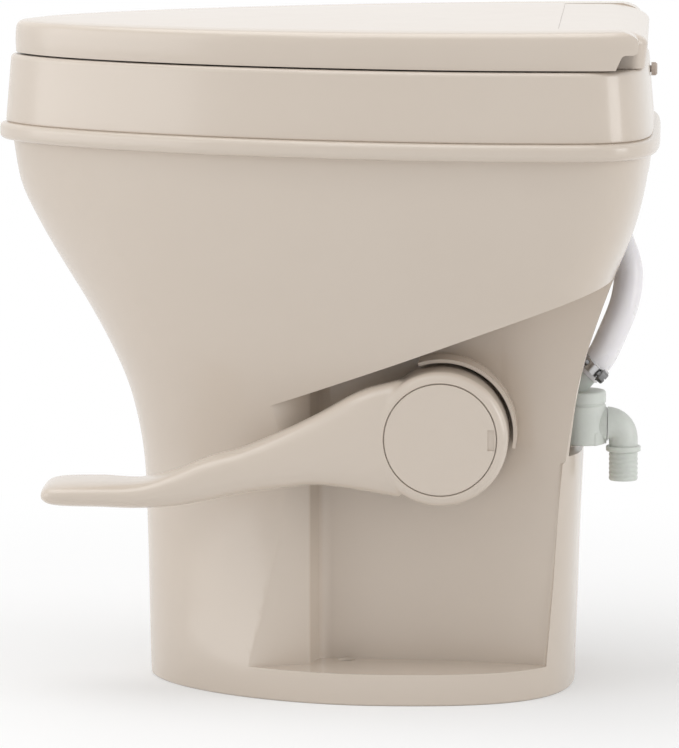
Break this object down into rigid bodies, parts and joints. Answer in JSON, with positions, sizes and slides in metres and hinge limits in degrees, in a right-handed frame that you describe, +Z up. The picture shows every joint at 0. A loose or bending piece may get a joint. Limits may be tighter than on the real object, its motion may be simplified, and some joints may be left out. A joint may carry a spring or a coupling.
{
  "type": "rv toilet",
  "caption": "Low-weight caravan toilet with seat and lid, side foot pedal, flush ball, water valve and rinse hose.",
  "frame": {"origin": "on the floor under the middle of the bead round the rim", "axes": "+X to the pedal side, -Y to the front of the bowl, +Z up"},
  "size_m": [0.374, 0.49, 0.503],
  "materials": {
    "bone_plastic": "glossy bone",
    "pale_nylon": "pale grey-green, slightly translucent",
    "white_vinyl": "milky, faint lilac",
    "grey_acetal": "dark grey satin",
    "black_plastic": "black satin",
    "black_rubber": "black matt",
    "bone_rubber": "soft bone",
    "steel": "plated"
  },
  "bodies": {
    "base": {"pedestal_shell": "bone_plastic", "bowl": "bone_plastic", "ball_housing": "pale_nylon", "bowl_seal": "black_rubber", "clamp_band": "steel", "clamp_band_screw": "steel", "shaft_seal": "black_rubber", "pedal_bushing": "grey_acetal", "shaft_bracket": "steel", "bracket_screw_low": "steel", "bracket_screw_high": "steel", "return_spring": "steel", "valve_bonnet": "pale_nylon", "valve_screw_inner": "steel", "valve_screw_outer": "steel", "stem_spring": "steel", "valve_diaphragm": "black_rubber", "valve_body": "pale_nylon", "inlet_elbow": "pale_nylon", "rinse_hose": "white_vinyl", "lower_hose_clamp": "steel", "lower_clamp_screw": "steel", "upper_hose_clamp": "steel", "upper_clamp_screw": "steel", "vacuum_breaker": "black_plastic", "breaker_cap": "black_plastic", "rinse_nozzle": "grey_acetal", "nozzle_gasket": "black_rubber", "floor_seal": "black_rubber", "housing_screw_front": "steel", "housing_screw_rear": "steel", "hinge_housing": "bone_plastic", "hinge_pin_left": "steel", "hinge_pin_right": "steel", "hinge_bolt_left": "steel", "hinge_bolt_right": "steel", "hinge_nut_left": "black_plastic", "hinge_nut_right": "black_plastic", "rear_stop": "bone_rubber"},
    "seat": {"seat": "bone_plastic", "seat_bumper_front_left": "bone_rubber", "seat_bumper_front_right": "bone_rubber", "seat_bumper_rear_left": "bone_rubber", "seat_bumper_rear_right": "bone_rubber"},
    "lid": {"lid": "bone_plastic", "lid_bumper_left": "bone_rubber", "lid_bumper_right": "bone_rubber"},
    "pedal": {"pedal_arm": "bone_plastic", "pedal_cap": "bone_plastic", "pedal_screw": "steel", "pedal_shaft": "steel", "sector_gear": "grey_acetal", "valve_cam": "grey_acetal", "shaft_clip": "steel"},
    "ball": {"flush_ball": "pale_nylon", "ball_drive_shaft": "grey_acetal", "ball_idle_pin": "grey_acetal", "ball_pinion": "grey_acetal"},
    "stem": {"valve_stem": "steel"}
  },
  "joints": [
    {"name": "seat_hinge", "type": "hinge", "parent": "base", "child": "seat", "pos_m": [0, 0.2075, 0.486], "axis": [-1, 0, 0], "range_deg": [0, 92]},
    {"name": "lid_hinge", "type": "hinge", "parent": "seat", "child": "lid", "pos_m": [0, 0.2075, 0.486], "axis": [-1, 0, 0], "range_deg": [0, 92]},
    {"name": "pedal_pivot", "type": "hinge", "parent": "base", "child": "pedal", "pos_m": [0.1, 0.088, 0.196], "axis": [1, 0, 0], "range_deg": [0, 25], "stiffness_Nm_per_rad": 2, "springref_deg": -45.84},
    {"name": "flush_ball_turn", "type": "hinge", "parent": "base", "child": "ball", "pos_m": [0, 0.017, 0.17], "axis": [1, 0, 0], "range_deg": [-75.5, 0.5]},
    {"name": "stem_slide", "type": "slide", "parent": "base", "child": "stem", "axis": [0, 1, 0], "range_m": [0, 0.0041], "deforming": ["stem_spring"]}
  ],
  "couplings": [
    {"joint": "flush_ball_turn", "follows": "pedal_pivot", "ratio": -3},
    {"joint": "stem_slide", "follows": "pedal_pivot", "m_per_rad": 0.0091673}
  ]
}
